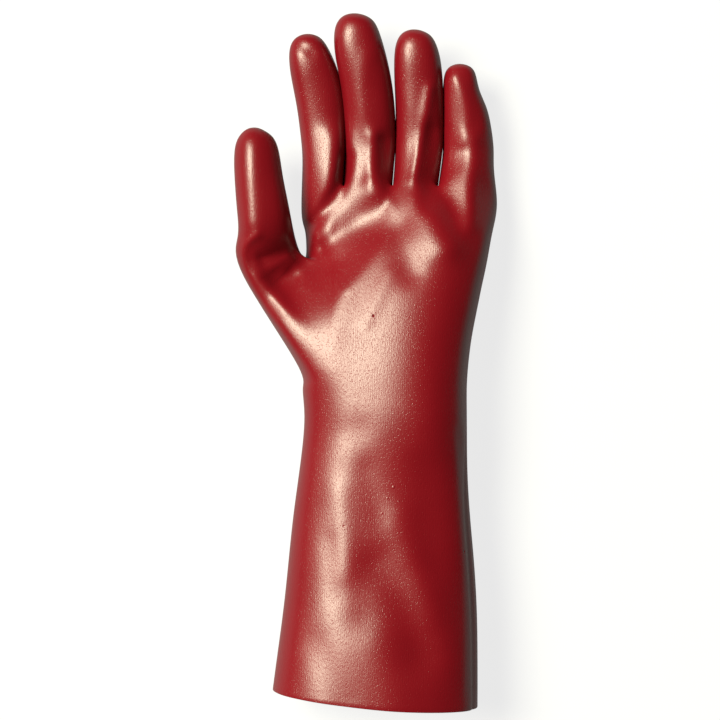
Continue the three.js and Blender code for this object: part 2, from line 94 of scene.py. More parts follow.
# root is how much of the palm's breadth a finger takes, and for the thumb how far its root stands out
# from the middle of the hand. lift is the height of a finger's underside over the finger bed, and for
# the thumb that of its middle line over the table.
Digit = namedtuple("Digit", "name length root breadth depth lift")
FINGERS = [
    Digit("index", 78 * MM, 19.7 * MM, 24.4 * MM, 23.5 * MM, 1.0 * MM),
    Digit("middle", 88 * MM, 24.7 * MM, 25.2 * MM, 25.5 * MM, 3.0 * MM),
    Digit("ring", 80 * MM, 23.3 * MM, 24.0 * MM, 24.5 * MM, 3.5 * MM),
    Digit("little", 63 * MM, 28.5 * MM, 25.2 * MM, 22.5 * MM, 3.0 * MM),
]
THUMB = Digit("thumb", 95.5 * MM, 47 * MM, 27 * MM, 26 * MM, 31 * MM)
PALM_BREADTH = sum(finger.root for finger in FINGERS)
print("palm breadth at the finger roots, mm:", round(PALM_BREADTH / MM, 1))

# %% Sections of the forearm and the palm
# flare and deepen are shares of the growth from the wrist to the rim, spread and thin of the change
# from the wrist to the finger roots. sway moves a section to the little side. mount is how far the
# ball of the thumb fills out that side of the palm.
ForearmSection = namedtuple("ForearmSection", "along flare deepen sway lift squareness")
FOREARM = [
    ForearmSection(0.00, 1.00, 1.00, 0.067, 0.0, 2.2),
    ForearmSection(0.17, 0.90, 0.92, 0.080, 0.0, 2.2),
    ForearmSection(0.34, 0.73, 0.75, 0.098, 0.1, 2.2),
    ForearmSection(0.51, 0.54, 0.55, 0.105, 0.3, 2.25),
    ForearmSection(0.67, 0.33, 0.33, 0.108, 0.6, 2.35),
    ForearmSection(0.84, 0.11, 0.12, 0.120, 0.9, 2.45),
    ForearmSection(1.00, 0.00, 0.00, 0.132, 1.0, 2.5),
]
PalmSection = namedtuple("PalmSection", "along spread thin sway lift squareness mount")
PALM = [
    PalmSection(0.13, 0.11, 0.06, 0.122, 0.9, 2.5, 0.02),
    PalmSection(0.24, 0.36, 0.17, 0.112, 0.8, 2.5, 0.05),
    PalmSection(0.35, 0.45, 0.36, 0.125, 0.6, 2.5, 0.08),
    PalmSection(0.46, 0.52, 0.57, 0.150, 0.4, 2.5, 0.08),
    PalmSection(0.57, 0.64, 0.86, 0.172, 0.2, 2.5, 0.05),
    PalmSection(0.68, 0.78, 1.25, 0.195, 0.1, 2.6, 0.02),
    PalmSection(0.81, 0.94, 1.70, 0.215, 0.0, 2.7, 0.00),
]
print("sections of the forearm and the palm:", len(FOREARM), "and", len(PALM))

# %% Sections of the digits
# along is a share of the digit's length, sway and wide of its breadth, thick and rise of its depth.
DigitSection = namedtuple("DigitSection", "along sway wide thick rise")
DIGITS = {
    "index": [
        DigitSection(0.15, 0.00, 0.90, 1.15, 0.04),
        DigitSection(0.33, -0.01, 0.95, 1.03, 0.03),
        DigitSection(0.51, -0.05, 1.00, 0.95, 0.14),
        DigitSection(0.67, -0.14, 1.00, 0.92, 0.24),
        DigitSection(0.81, -0.26, 0.92, 0.88, 0.34),
        DigitSection(0.92, -0.35, 0.74, 0.72, 0.41),
        DigitSection(0.975, -0.38, 0.46, 0.44, 0.43),
        DigitSection(1.00, -0.39, 0, 0, 0.43),
    ],
    "middle": [
        DigitSection(0.13, 0.04, 0.99, 1.00, 0.00),
        DigitSection(0.29, 0.06, 1.02, 0.98, 0.00),
        DigitSection(0.46, 0.03, 1.03, 0.95, 0.14),
        DigitSection(0.62, -0.04, 1.02, 0.93, 0.25),
        DigitSection(0.78, -0.16, 0.99, 0.90, 0.36),
        DigitSection(0.905, -0.24, 0.86, 0.80, 0.42),
        DigitSection(0.97, -0.25, 0.58, 0.54, 0.44),
        DigitSection(1.00, -0.24, 0, 0, 0.44),
    ],
    "ring": [
        DigitSection(0.14, 0.06, 0.98, 1.00, 0.00),
        DigitSection(0.31, 0.10, 1.02, 0.98, 0.00),
        DigitSection(0.49, 0.105, 1.02, 0.95, 0.12),
        DigitSection(0.66, 0.08, 1.02, 0.92, 0.22),
        DigitSection(0.81, 0.045, 0.97, 0.88, 0.32),
        DigitSection(0.92, 0.00, 0.80, 0.74, 0.38),
        DigitSection(0.975, -0.01, 0.50, 0.46, 0.40),
        DigitSection(1.00, 0.00, 0, 0, 0.40),
    ],
    "little": [
        DigitSection(0.15, 0.04, 1.08, 1.08, 0.02),
        DigitSection(0.31, 0.06, 1.03, 1.03, 0.00),
        DigitSection(0.47, 0.03, 0.98, 0.97, 0.09),
        DigitSection(0.62, -0.02, 0.90, 0.92, 0.18),
        DigitSection(0.76, -0.09, 0.74, 0.84, 0.27),
        DigitSection(0.89, -0.12, 0.65, 0.72, 0.33),
        DigitSection(0.965, -0.12, 0.46, 0.48, 0.35),
        DigitSection(1.00, -0.12, 0, 0, 0.35),
    ],
    "thumb": [
        DigitSection(0.30, -0.68, 1.185, 1.00, -0.10),
        DigitSection(0.44, -0.75, 1.03, 1.03, 0.05),
        DigitSection(0.58, -0.81, 0.97, 0.97, 0.10),
        DigitSection(0.73, -0.88, 0.90, 0.92, 0.13),
        DigitSection(0.86, -0.92, 0.84, 0.84, 0.14),
        DigitSection(0.94, -0.94, 0.68, 0.66, 0.15),
        DigitSection(0.98, -0.94, 0.40, 0.40, 0.15),
        DigitSection(1.00, -0.93, 0, 0, 0.15),
    ],
}
print("sections of each digit:", {name: len(rows) for name, rows in DIGITS.items()})

# %% [markdown]
# Rings
#
# Each section of the cuff and palm is a rounded oblong. A ring has twenty points: nine across the
# palm, one on each side, nine across the back. Nine columns give every finger two spans, so that the
# finger roots fall on the ring's own points and no extra topology is needed there.

# %% Points of a ring
COLUMNS = 9
SIDE_ANGLE = 24


def mix(low, high, share):
    return low + (high - low) * share


def oblong(degrees, half_breadth, half_depth, squareness):
    def bend(value):
        return math.copysign(abs(value) ** (2 / squareness), value)

    angle = math.radians(degrees)
    return half_breadth * bend(math.cos(angle)), half_depth * bend(math.sin(angle))


def body_ring(x, y, z, breadth, depth, squareness):
    palm_side = [mix(180 - SIDE_ANGLE, SIDE_ANGLE, i / (COLUMNS - 1)) for i in range(COLUMNS)]
    angles = [*palm_side, 0, *[-angle for angle in reversed(palm_side)], 180]
    ring = []
    for degrees in angles:
        across, up = oblong(degrees, breadth / 2, depth / 2, squareness)
        ring.append(Vector((x + across, y, z + depth / 2 + up)))
    return ring


print("points in a ring:", 2 * COLUMNS + 2)


# %% The slanted rim and the ball of the thumb
# The rim is cut at a slant that grows faster near the thumb side. The mount is fullest on the second
# of its three columns.
RIM_SKEW_POWER = 1.6
MOUNT_SHARES = (1, 1.08, 0.5)


def skew_rim(ring):
    for point in ring:
        share = 0.5 - (point.x - FOREARM[0].sway * WRIST_BREADTH) / CUFF_BREADTH
        point.y += RIM_SKEW * min(max(share, 0), 1) ** RIM_SKEW_POWER


def fill_mount(ring, height):
    for i, share in enumerate(MOUNT_SHARES):
        ring[i].z += share * height


# %% The ring at the finger roots
# Its palm side lies at ROOT_TOP of the palm's depth. It dips at the two edges and between fingers,
# and it falls back towards the wrist at the index and the little finger. The back follows each of
# these by a smaller share.
ROOT_SWAY = 0.217
ROOT_Y = CUFF_LENGTH + PALM_LENGTH
ROOT_TOP, ROOT_EDGE, ROOT_DIP = 0.69, 0.2, 0.10
BACK_EDGE, BACK_DIP, BACK_SAG = 0.6, 0.5, 0.5
ROOT_OUT = 1.5 * MM
WEB_SLOPE = 8 * MM
WEB_COLUMNS = (2, 4, 6)
LAST = COLUMNS - 1
INDEX_SAG, LITTLE_SAG = 12 * MM, 6 * MM
ROOT_SAG = {0: INDEX_SAG, 1: 0.35 * INDEX_SAG, LAST: LITTLE_SAG}


def root_columns():
    lines = []
    x = ROOT_SWAY * WRIST_BREADTH - PALM_BREADTH / 2
    for finger in FINGERS:
        lines += [x, x + finger.root / 2]
        x += finger.root
    return [*lines, x]


ROOT_LINES = root_columns()


def root_ring():
    palm_side, back = [], []
    for i, x in enumerate(ROOT_LINES):
        edge = ROOT_EDGE if i in (0, LAST) else 0
        dip = ROOT_DIP if i in WEB_COLUMNS else 0
        sag = ROOT_SAG.get(i, 0)
        palm_z = FINGER_BED + PALM_DEPTH * (ROOT_TOP - edge - dip)
        back_z = FINGER_BED + PALM_DEPTH * (BACK_EDGE * edge + BACK_DIP * dip)
        palm_side.append(Vector((x, ROOT_Y - sag, palm_z)))
        back.append(Vector((x, ROOT_Y - BACK_SAG * sag - WEB_SLOPE, back_z)))
    sides = []
    for i, out in ((LAST, ROOT_OUT), (0, -ROOT_OUT)):
        side = palm_side[i].lerp(back[i], 0.5)
        side.x = ROOT_LINES[i] + out
        sides.append(side)
    return [*palm_side, sides[0], *reversed(back), sides[1]]


print("columns at the finger roots, mm:", [round(x / MM, 1) for x in ROOT_LINES])


# %% All rings of the body
def body_rings():
    rings = []
    for row in FOREARM:
        rings.append(body_ring(
            row.sway * WRIST_BREADTH, row.along * CUFF_LENGTH, row.lift * WRIST_LIFT,
            mix(WRIST_BREADTH, CUFF_BREADTH, row.flare),
            mix(WRIST_DEPTH, CUFF_DEPTH, row.deepen), row.squareness))
    skew_rim(rings[0])
    for row in PALM:
        rings.append(body_ring(
            row.sway * WRIST_BREADTH, CUFF_LENGTH + row.along * PALM_LENGTH, row.lift * WRIST_LIFT,
            mix(WRIST_BREADTH, PALM_BREADTH, row.spread),
            mix(WRIST_DEPTH, PALM_DEPTH, row.thin), row.squareness))
        fill_mount(rings[-1], row.mount * PALM_DEPTH)
    return [*rings, root_ring()]


body_points = body_rings()
print("rings of the body:", len(body_points))


# %% [markdown]
# The cage
#
# A tube that branches can be modelled by extruding loops of edges. The body starts as a circle at the
# rim, and each extrusion carries it to the next section. A patch of faces is then opened for the
# thumb, three web lines divide the end of the palm into four loops, and each digit is extruded from
# its loop and closed at the tip.

# %% Helpers for loops of edges
def place(verts, points):
    for vert, point in zip(verts, points):
        vert.co = point


def extrude_loop(bm, ring, points):
    pairs = zip(ring, [*ring[1:], ring[0]])
    edges = [bm.edges.get(pair) for pair in pairs]
    made = bmesh.ops.extrude_edge_only(bm, edges=edges)["geom"]
    fresh = {item for item in made if isinstance(item, bmesh.types.BMVert)}
    ends = []
    for vert in ring:
        ends += [edge.other_vert(vert) for edge in vert.link_edges if edge.other_vert(vert) in fresh]
    place(ends, points)
    return ends


def close_tip(bm, ring, tip):
    cap = bmesh.ops.contextual_create(bm, geom=ring)["faces"]
    centre = bmesh.ops.poke(bm, faces=cap)["verts"][0]
    centre.co = tip
    spokes = [bm.edges.get((centre, vert)) for vert in ring[0::2]]
    bmesh.ops.dissolve_edges(bm, edges=spokes, use_verts=False)


# %% Grow a digit from its loop
# crown is the place in the loop of the point that looks up from the palm. Each section stands square
# to the line between its neighbours, so that a bent digit keeps its girth.
DIGIT_SQUARENESS = 2.35
UP = Vector((0, 0, 1))


def grow_digit(bm, digit, base, root, crown):
    rows = DIGITS[digit.name]
    centres = [root + Vector((row.sway * digit.breadth, row.along * digit.length,
                              row.rise * digit.depth)) for row in rows]
    ring = base
    before = root
    for i, row in enumerate(rows[:-1]):
        along = (centres[i + 1] - before).normalized()
        side = along.cross(UP).normalized()
        top = side.cross(along)
        points = []
        for j in range(len(base)):
            degrees = 90 + (crown - j) * 360 / len(base)
            across, up = oblong(degrees, row.wide * digit.breadth / 2,
                                row.thick * digit.depth / 2, DIGIT_SQUARENESS)
            points.append(centres[i] + side * across + top * up)
        ring = extrude_loop(bm, ring, points)
        before = centres[i]
    close_tip(bm, ring, centres[-1])


# %% Extrude the body and the four fingers
def extrude_body(bm, points):
    circle = bmesh.ops.create_circle(bm, segments=len(points[0]), radius=CUFF_BREADTH / 2)["verts"]
    place(circle, points[0])
    rings = [list(circle)]
    for ring in points[1:]:
        rings.append(extrude_loop(bm, rings[-1], ring))
    return rings


def extrude_fingers(bm, roots):
    back = list(reversed(roots[COLUMNS + 1:-1]))
    middle = {0: roots[-1], LAST: roots[COLUMNS]}
    for i in WEB_COLUMNS:
        web = bmesh.ops.create_vert(bm, co=roots[i].co.lerp(back[i].co, 0.5))["vert"][0]
        bm.edges.new((roots[i], web))
        bm.edges.new((web, back[i]))
        middle[i] = web
    for f, finger in enumerate(FINGERS):
        a, b, c = 2 * f, 2 * f + 1, 2 * f + 2
        base = [roots[a], roots[b], roots[c], middle[c], back[c], back[b], back[a], middle[a]]
        root = Vector((ROOT_LINES[b], ROOT_Y, FINGER_BED + finger.lift + finger.depth / 2))
        grow_digit(bm, finger, base, root, 1)


# %% Open the thumb's patch and extrude the thumb
THUMB_ROWS = (8, 12)
THUMB_PLACE = 0.43


def extrude_thumb(bm, rings):
    low, high = THUMB_ROWS
    patch = rings[low:high + 1]
    count = len(rings[0])
    edge = count - 1
    dorsal = edge - 1
    opened = []
    for near, far in zip(patch, patch[1:]):
        for i in (dorsal, edge, 0):
            after = (i + 1) % count
            opened.append(bm.faces.get((near[i], near[after], far[after], far[i])))
    bmesh.ops.delete(bm, geom=opened, context="FACES")
    base = [*[ring[1] for ring in patch], patch[-1][0], patch[-1][edge],
            *[ring[dorsal] for ring in reversed(patch)], patch[0][edge], patch[0][0]]
    root = Vector((ROOT_SWAY * WRIST_BREADTH - THUMB.root,
                   CUFF_LENGTH + THUMB_PLACE * PALM_LENGTH, THUMB.lift))
    grow_digit(bm, THUMB, base, root, (high - low) // 2)


# %% Build the cage
def build_cage():
    bm = bmesh.new()
    rings = extrude_body(bm, body_points)
    extrude_fingers(bm, rings[-1])
    extrude_thumb(bm, rings)
    bmesh.ops.recalc_face_normals(bm, faces=bm.faces)
    mesh = bpy.data.meshes.new("glove_cage")
    bm.to_mesh(mesh)
    bm.free()
    return mesh


cage = bpy.data.objects.new("glove_cage", build_cage())
bpy.context.scene.collection.objects.link(cage)
print("cage:", len(cage.data.vertices), "points,", len(cage.data.polygons), "faces")

# %% [markdown]
# A smooth skin through the sections
#
# A subdivision surface shrinks away from its cage, so a glove built straight on the sections would
# come out thin. The cage is therefore pushed outwards by what is missing. Each round brings the smooth
# surface closer to the points of the tables, and two rounds are enough without making it wavy.

# %% Read, write and subdivide a mesh
def coordinates(mesh):
    flat = np.empty(len(mesh.vertices) * 3)
    mesh.vertices.foreach_get("co", flat)
    return flat.reshape(-1, 3)


def set_coordinates(mesh, points):
    mesh.vertices.foreach_set("co", points.ravel())
    mesh.update()


def subdivided(obj, levels):
    modifier = obj.modifiers.new("smooth", "SUBSURF")
    modifier.levels = levels
    modifier.render_levels = levels
    modifier.use_limit_surface = True
    graph = bpy.context.evaluated_depsgraph_get()
    mesh = bpy.data.meshes.new_from_object(obj.evaluated_get(graph))
    obj.modifiers.remove(modifier)
    return mesh


# %% Push the cage outwards by what is missing
FIT_ROUNDS = 2
SKIN_LEVELS = 3

wanted = coordinates(cage.data)
for _ in range(FIT_ROUNDS):
    smooth = subdivided(cage, 1)
    missing = wanted - coordinates(smooth)[:len(wanted)]
    set_coordinates(cage.data, coordinates(cage.data) + missing)
    bpy.data.meshes.remove(smooth)
print("furthest from its section before the last round, mm:", round(float(np.abs(missing).max()) / MM, 3))

skin = subdivided(cage, SKIN_LEVELS)
bpy.data.objects.remove(cage)
print("smooth skin:", len(skin.vertices), "points,", len(skin.polygons), "faces")

# %% [markdown]
# Folds
#
# Stiff PVC keeps the folds that the hand has put in it. Each is a straight or bowed ridge, or a dent
# where the height is below zero, that fades out on both sides like a bell curve. They lift and press
# the upper side and fade out towards the table, so the glove still lies flat on its back.

# %% Folds of the palm, fingers and thumb
# Places are shares of the palm's breadth, from the middle of the finger roots, and of its length,
# from the wrist. bend is the line's bow to its left, a share of its length, width is a share of the
# breadth and height a share of the depth.
Fold = namedtuple("Fold", "x0 y0 x1 y1 bend width height")
PALM_FOLDS = [
    # the hollow towards the thumb web
    Fold(-0.57, 0.60, -0.25, 0.86, 0.02, 0.17, -0.26),
    Fold(-0.67, 0.60, -0.50, 0.67, 0, 0.06, -0.05),
    Fold(-0.40, 0.74, -0.10, 0.92, 0, 0.035, -0.045),
    Fold(-0.32, 0.52, -0.03, 0.88, -0.08, 0.04, 0.012),
    # the heel of the hand and its little side
    Fold(0.13, 0.05, 0.20, 0.62, 0, 0.36, 0.17),
    Fold(0.11, 0.93, 0.24, 0.74, 0, 0.09, 0.07),
    Fold(-0.02, 0.80, 0.06, 0.62, 0, 0.07, -0.028),
    Fold(-0.18, 0.40, -0.05, 0.62, 0, 0.035, 0.009),
    # mounts and creases under the fingers
    Fold(-0.365, 0.79, -0.10, 0.975, 0.06, 0.10, 0.13),
    Fold(-0.47, 0.84, -0.277, 1.13, -0.10, 0.035, -0.06),
    Fold(-0.31, 1.00, -0.32, 1.20, 0, 0.085, 0.085),
    Fold(-0.135, 1.22, -0.15, 1.03, 0, 0.04, 0.035),
    Fold(-0.07, 1.20, -0.06, 0.97, 0, 0.045, -0.05),
    Fold(0.18, 1.24, 0.14, 0.94, 0.05, 0.055, -0.06),
    Fold(0.385, 1.20, 0.36, 0.84, 0, 0.055, 0.05),
    # the fingers
    Fold(0.075, 1.03, 0.16, 1.42, 0, 0.03, 0.032),
    Fold(-0.17, 1.55, -0.15, 1.22, -0.10, 0.05, 0.015),
    Fold(0.33, 1.20, 0.29, 1.47, -0.12, 0.04, 0.02),
    Fold(-0.53, 1.62, -0.46, 1.58, 0, 0.03, -0.015),
    # the thumb and its root
    Fold(-0.77, 1.24, -0.76, 0.84, 0, 0.075, 0.045),
    Fold(-0.77, 0.59, -0.58, 0.69, 0, 0.035, 0.065),
    Fold(-0.71, 0.68, -0.56, 0.71, 0, 0.035, -0.05),
    Fold(-0.74, 0.78, -0.80, 0.65, -0.25, 0.025, 0.025),
    Fold(-0.74, 0.57, -0.56, 0.62, 0, 0.03, -0.035),
    Fold(-0.73, 0.575, -0.60, 0.46, 0.12, 0.04, 0.05),
]
print("folds of the palm and digits:", len(PALM_FOLDS))

# %% Folds of the cuff
# The same columns, as shares of the cuff's breadth, length and depth, from the middle of its rim.
CUFF_FOLDS = [
    # the crease along the little side
    Fold(0.405, 0.95, 0.46, 0.06, 0.02, 0.022, -0.012),
    Fold(0.44, 0.95, 0.49, 0.06, 0.02, 0.035, 0.014),
    # dents and swells
    Fold(-0.06, 0.42, -0.05, 0.34, 0, 0.09, -0.012),
    Fold(0.02, 0.50, 0.22, 0.20, 0.08, 0.10, -0.03),
    Fold(0.12, 0.66, 0.26, 0.34, 0, 0.08, 0.015),
    Fold(-0.18, 0.74, -0.15, 0.48, 0.05, 0.07, 0.01),
    Fold(-0.22, 0.58, -0.18, 0.40, 0, 0.05, -0.006),
    Fold(-0.28, 0.23, -0.16, 0.05, 0, 0.08, -0.01),
    Fold(0.02, 0.22, 0.08, 0.02, 0, 0.12, 0.018),
    Fold(-0.28, 0.93, -0.08, 0.96, 0, 0.07, -0.007),
    Fold(0.24, 0.82, 0.28, 0.52, 0, 0.10, -0.018),
    Fold(-0.04, 0.82, 0.02, 0.66, 0, 0.06, -0.008),
]
print("folds of the cuff:", len(CUFF_FOLDS))


# %% Raise and press the folds
# Below FOLD_START over the table a fold has no effect, and above FOLD_FULL it has all of it.
FOLD_START, FOLD_FULL = 8 * MM, 24 * MM


def fold_heights(points, folds, corner, size):
    middle, start = corner
    breadth, length, depth = size
    heights = np.zeros(len(points))
    for fold in folds:
        begin = np.array((middle + fold.x0 * breadth, start + fold.y0 * length))
        line = np.array((middle + fold.x1 * breadth, start + fold.y1 * length)) - begin
        away = points[:, :2] - begin
        share = np.clip(away @ line / (line @ line), 0, 1)
        bow = (4 * share * (1 - share) * fold.bend)[:, None] * np.array((-line[1], line[0]))
        distance = np.linalg.norm(away - share[:, None] * line - bow, axis=1)
        heights += fold.height * depth * np.exp(-(distance / (fold.width * breadth)) ** 2)
    return heights


def smooth_step(values, low, high):
    share = np.clip((values - low) / (high - low), 0, 1)
    return share * share * (3 - 2 * share)


points = coordinates(skin)
heights = fold_heights(points, PALM_FOLDS, (ROOT_SWAY * WRIST_BREADTH, CUFF_LENGTH),
                       (PALM_BREADTH, PALM_LENGTH, PALM_DEPTH))
heights += fold_heights(points, CUFF_FOLDS, (FOREARM[0].sway * WRIST_BREADTH, 0),
                        (CUFF_BREADTH, CUFF_LENGTH, CUFF_DEPTH))
points[:, 2] += heights * smooth_step(points[:, 2], FOLD_START, FOLD_FULL)
set_coordinates(skin, points)
print("highest and deepest fold, mm:", (np.array((heights.max(), heights.min())) / MM).round(1))

# %% [markdown]
# Set on the frame
#
# The tables start at the rim's own corner. The skin is slid so that its middle and its underside lie
# where the frame's glove lies. Its own weight presses the lowest points flat on the table, so the
# skin sinks by a small settle and what would fall below the table is held on it.

# %% Slide the skin into the frame
SETTLE = 1.2 * MM

points = coordinates(skin)
skin_middle = (points.min(axis=0) + points.max(axis=0)) / 2
frame_middle = (np.array(skin_low) + np.array(skin_high)) / 2
shift = np.array((frame_middle[0] - skin_middle[0], frame_middle[1] - skin_middle[1], -SETTLE))
points += shift
points[:, 2] = np.maximum(points[:, 2], 0)
set_coordinates(skin, points)
print("slid by, mm:", (shift / MM).round(2))

# %% [markdown]
# The roots of the thumb and the index finger
#
# Where the thumb leaves the palm, four sections meet in a narrow web. Its lower end comes out with a
# small curled lip, and a crease runs from it over the ball of the thumb. On the real glove the thick
# dip rounds such spots, and it softens the mount and the foot of the index finger too. Sculpting
# would do it by hand. Here the points inside a few named balls are averaged with their neighbours,
# because a fixed number of rounds gives the same result every time.

# %% Average the skin at four spots
Spot = namedtuple("Spot", "name centre reach rounds")
SPOTS = [
    Spot("web", Vector((-31.6, 51.0, 8.5)) * MM, 6.5 * MM, 14),
    Spot("ball of the thumb", Vector((-20.0, 16.0, 44.0)) * MM, 20 * MM, 16),
    Spot("foot of the index finger", Vector((-5.0, 71.0, 26.0)) * MM, 13 * MM, 9),
    Spot("mount of the index finger", Vector((-7.0, 68.0, 27.0)) * MM, 19 * MM, 6),
]
bm = bmesh.new()
bm.from_mesh(skin)
for spot in SPOTS:
    near = [vert for vert in bm.verts if (vert.co - spot.centre).length < spot.reach]
    for _ in range(spot.rounds):
        bmesh.ops.smooth_vert(bm, verts=near, factor=0.5,
                              use_axis_x=True, use_axis_y=True, use_axis_z=True)
    print("points averaged at the", spot.name + ":", len(near))
bm.to_mesh(skin)
bm.free()

# %% [markdown]
# The packing crease
#
# The glove has been packed flat, which leaves a sharp crease down the little side of the cuff. It runs
# on the steep flank, where the folds of the tables fade out, so it is pressed inwards on its own.

# %% Press the crease into the flank
# Each pair is the crease's value near the wrist and at the rim. It deepens over its first part.
CREASE_Y = (-22 * MM, -173 * MM)
CREASE_Z = (36 * MM, 42 * MM)
CREASE_DEPTH, CREASE_WIDTH = 0.9 * MM, 1.6 * MM
CREASE_RUN_IN = 0.2

points = coordinates(skin)
share = (points[:, 1] - CREASE_Y[0]) / (CREASE_Y[1] - CREASE_Y[0])
height = mix(*CREASE_Z, share)
press = CREASE_DEPTH * np.exp(-((points[:, 2] - height) / CREASE_WIDTH) ** 2)
press *= smooth_step(share, 0, CREASE_RUN_IN) * (points[:, 0] > frame_middle[0])
points[:, 0] -= press
set_coordinates(skin, points)
print("deepest press, mm:", round(float(press.max()) / MM, 2))

# %% [markdown]
# The wall
#
# The coated cloth is a millimetre and a half thick. Solidify adds the inner face and closes the rim.
# It can give the inner face a finish of its own only if the mesh has a slot for it beforehand, so two
# empty slots are made first and filled when the finishes exist.

# %% Give the skin its wall
COAT, BACKING = 0, 1
for _ in (COAT, BACKING):
    skin.materials.append(None)
glove = bpy.data.objects.new("glove_skin_finish", skin)
bpy.context.scene.collection.objects.link(glove)
wall = glove.modifiers.new("wall", "SOLIDIFY")
wall.thickness = WALL
wall.offset = -1
wall.use_even_offset = False
wall.material_offset = BACKING
wall.material_offset_rim = COAT
graph = bpy.context.evaluated_depsgraph_get()
walled = bpy.data.meshes.new_from_object(glove.evaluated_get(graph))
glove.modifiers.clear()
glove.data = walled
print("walled skin:", len(walled.polygons), "faces")

# %% [markdown]
# The cut rim
#
# The cuff is trimmed after the dip, so its rim is square, but no real edge is perfectly sharp. A small
# bevel takes the sharpness off and lets the edge catch the light. Only the sharp edges near the rim
# are chosen, by the angle between their faces.

# %% Round the edges of the rim
RIM_ROUND = 0.35 * MM
RIM_BAND = 3 * MM
RIM_ANGLE = math.radians(60)

bm = bmesh.new()
bm.from_mesh(walled)
rim_end = skin_low[1] + RIM_SKEW + RIM_BAND
rim_edges = [edge for edge in bm.edges
             if edge.verts[0].co.y < rim_end and edge.calc_face_angle() > RIM_ANGLE]
bmesh.ops.bevel(bm, geom=rim_edges, offset=RIM_ROUND, segments=2, profile=0.5,
                affect="EDGES", material=-1)
bm.to_mesh(walled)
bm.free()
walled.shade_smooth()
print("rim edges rounded:", len(rim_edges), "faces now:", len(walled.polygons))

# %% [markdown]
# The coat
#
# Dipped PVC is glossy but never perfect: the knit under it prints through as faint upright ribs, and
# the coat itself has the skin of an orange and a scatter of pin pricks. All of it is fine relief, so
# it goes into the bump of the material and not into the mesh. Patterns are drawn on Object
# coordinates, which are the glove's own metres and need no unwrapping. At a scale of 1 a wave repeats
# about every 0.3 m, so a scale of 300 gives a rib about every millimetre.


# %% Small helpers for shader nodes
def add_node(tree, kind, inputs=None, **settings):
    node = tree.nodes.new(kind)
    for name, value in settings.items():
        setattr(node, name, value)
    for name, value in (inputs or {}).items():
        if isinstance(value, bpy.types.NodeSocket):
            tree.links.new(value, node.inputs[name])
        else:
            node.inputs[name].default_value = value
    return node


def add_bump(tree, height, strength, distance, below=None):
    inputs = {"Height": height, "Strength": strength, "Distance": distance}
    if below:
        inputs["Normal"] = below
    return add_node(tree, "ShaderNodeBump", inputs).outputs["Normal"]


def new_material(name):
    material = bpy.data.materials.new(name)
    material.use_nodes = True
    tree = material.node_tree
    shader = tree.nodes["Principled BSDF"]
    where = add_node(tree, "ShaderNodeTexCoord").outputs["Object"]
    return material, tree, shader, where


# %% [markdown]
# Small marks
#
# Bubbles and dust leave single marks in a dipped coat: here a pin hole, a nick and a few pimples. Each
# could be sculpted, but they are smaller than the faces of the mesh. So a mark is the distance to one
# point of the coat, turned into a soft round height, and the heights are added up for the bump.

# %% Heights of the small marks
# Places and radii are in mm, seen from above. A height below zero is a pit. A ray from MARK_ABOVE
# finds the point of the coat under each place.
Mark = namedtuple("Mark", "x y radius height")
MARKS = [
    Mark(3.3, 21.7, 0.8, -0.6),
    Mark(-11.3, -82.3, 0.8, -0.15),
    Mark(48.5, -95.7, 0.9, -0.6),
    Mark(13.3, -63.0, 0.9, 0.25),
    Mark(10.3, -68.5, 0.7, 0.2),
    Mark(15.8, -70.0, 0.6, 0.2),
    Mark(7.5, -76.0, 0.7, 0.15),
]
MARK_ABOVE = 100
print("small marks:", len(MARKS))


def mark_heights(tree, where):
    total = None
    for mark in MARKS:
        above = Vector((mark.x, mark.y, MARK_ABOVE)) * MM
        spot = glove.ray_cast(above, -UP)[1]
        away = add_node(tree, "ShaderNodeVectorMath", {0: where, 1: spot}, operation="DISTANCE")
        height = add_node(tree, "ShaderNodeMapRange", {
            "Value": away.outputs["Value"], "From Max": mark.radius * MM,
            "To Min": mark.height, "To Max": 0.0},
            interpolation_type="SMOOTHSTEP").outputs["Result"]
        if total is None:
            total = height
        else:
            both = add_node(tree, "ShaderNodeMath", {0: total, 1: height}, operation="ADD")
            total = both.outputs["Value"]
    return total


# %% The relief of the coat
# Each bump rides on the one before it: ribs, orange peel, pin pricks and the small marks. The peel is
# drawn out along the glove, the way the liquid ran, by a Mapping node.
PEEL_DRAW = (1, 0.5, 1)


def coat_relief(tree, where):
    ribs = add_node(tree, "ShaderNodeTexWave", {
        "Vector": where, "Scale": 300.0, "Distortion": 5.0, "Detail": 3.0, "Detail Scale": 1.2},
        wave_type="BANDS", bands_direction="X")
    drawn = add_node(tree, "ShaderNodeMapping", {"Vector": where, "Scale": PEEL_DRAW})
    peel = add_node(tree, "ShaderNodeTexNoise", {
        "Vector": drawn.outputs["Vector"], "Scale": 1300.0, "Detail": 3.0})
    grain = add_node(tree, "ShaderNodeTexNoise", {"Vector": where, "Scale": 1500.0, "Detail": 0.0})
    pricks = add_node(tree, "ShaderNodeMapRange", {
        "Value": grain.outputs["Fac"], "From Min": 0.24, "From Max": 0.34})
    relief = add_bump(tree, ribs.outputs["Fac"], 0.15, 0.05 * MM)
    relief = add_bump(tree, peel.outputs["Fac"], 0.7, 0.1 * MM, relief)
    relief = add_bump(tree, pricks.outputs["Result"], 0.4, 0.1 * MM, relief)
    return add_bump(tree, mark_heights(tree, where), 1.0, MM, relief)


# %% Red PVC
# The red and the gloss wander a little over the glove, with patches a few centimetres wide.
DEEP_RED, BRIGHT_RED = (0.145, 0.002, 0.006, 1), (0.185, 0.003, 0.008, 1)
SMOOTHEST, ROUGHEST = 0.29, 0.38
PVC_IOR = 1.5


